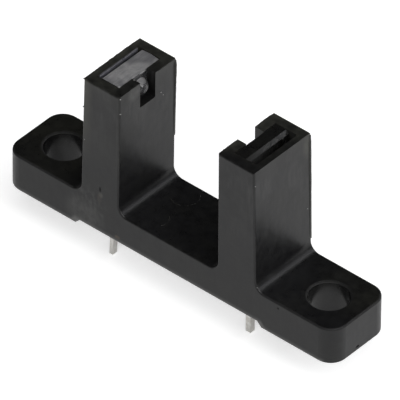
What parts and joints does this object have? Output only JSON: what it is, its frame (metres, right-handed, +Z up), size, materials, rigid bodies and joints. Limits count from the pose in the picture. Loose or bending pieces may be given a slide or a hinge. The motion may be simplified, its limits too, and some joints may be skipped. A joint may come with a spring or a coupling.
{
  "type": "slotted optical switch",
  "caption": "Black moulded housing with screw tabs and a square slot between an infrared emitter and a detector, which sense a flag passing through the slot.",
  "frame": {"origin": "midway between the two screw holes, on the plane of the tab undersides", "axes": "+X from the emitter tower to the detector tower along the length, +Y to the back, +Z up through the screw holes towards the tower tops"},
  "size_m": [0.0316, 0.0062, 0.0169],
  "materials": {
    "housing_plastic": "satin moulded black thermoplastic",
    "clear_epoxy": "cloudy clear casting epoxy",
    "dark_epoxy": "infrared-passing black epoxy",
    "tinned_lead": "dull tinned metal",
    "silver_epoxy": "silver-filled adhesive",
    "chip": "polished semiconductor",
    "bond_wire": "drawn gold"
  },
  "bodies": {
    "root": {"housing": "housing_plastic", "emitter_package": "clear_epoxy", "emitter_cathode_lead": "tinned_lead", "emitter_anode_lead": "tinned_lead", "emitter_die_attach": "silver_epoxy", "emitter_chip": "chip", "emitter_bond_wire": "bond_wire", "detector_package": "dark_epoxy", "detector_collector_lead": "tinned_lead", "detector_emitter_lead": "tinned_lead", "detector_die_attach": "silver_epoxy", "detector_chip": "chip", "detector_bond_wire": "bond_wire"}
  },
  "joints": []
}
